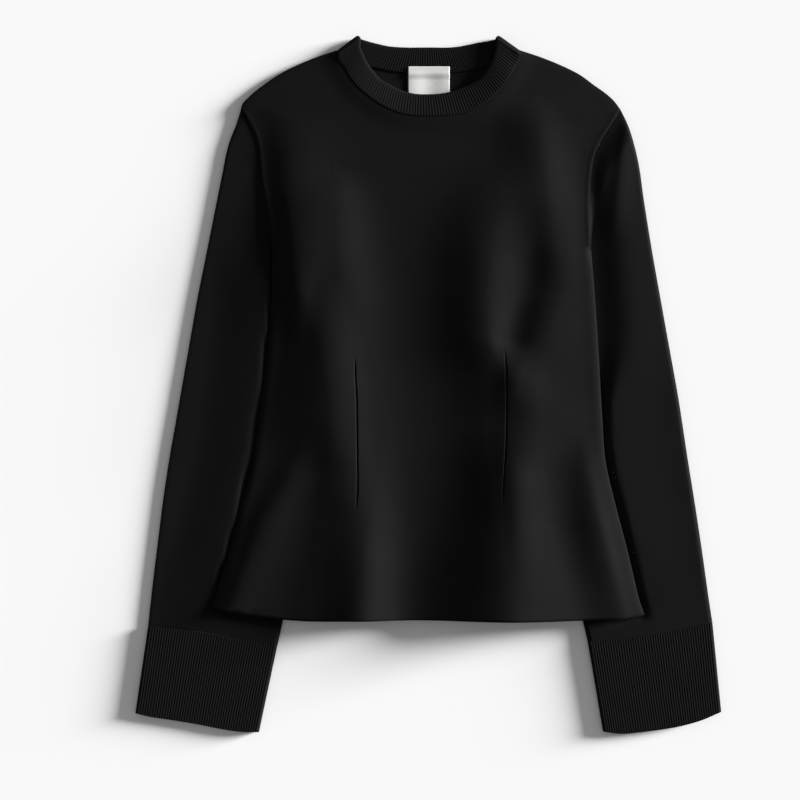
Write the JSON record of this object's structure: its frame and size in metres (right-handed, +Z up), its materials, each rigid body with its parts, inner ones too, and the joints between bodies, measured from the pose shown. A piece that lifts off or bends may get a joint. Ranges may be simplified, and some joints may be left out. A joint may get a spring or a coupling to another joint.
{
  "type": "peplum top",
  "caption": "Long-sleeved crew-neck peplum top in compact black knit, laid flat with its sleeves tucked under the body.",
  "frame": {"origin": "centre of the bounding box at the surface that the garment lies on", "axes": "+X to the right as seen from above, +Y towards the neck, +Z up, away from the surface"},
  "size_m": [0.586, 0.6974, 0.0301],
  "materials": {
    "front_panel": "matte knit",
    "back_panel": "matte knit",
    "sleeve_left": "matte knit",
    "sleeve_right": "matte knit",
    "cuff_left": "matte rib knit",
    "cuff_right": "matte rib knit",
    "neckband": "matte rib knit",
    "label": "satin woven"
  },
  "bodies": {
    "root": {"front_panel": "front_panel", "back_panel": "back_panel", "sleeve_left": "sleeve_left", "sleeve_right": "sleeve_right", "cuff_left": "cuff_left", "cuff_right": "cuff_right", "neckband": "neckband", "label": "label"}
  },
  "joints": []
}
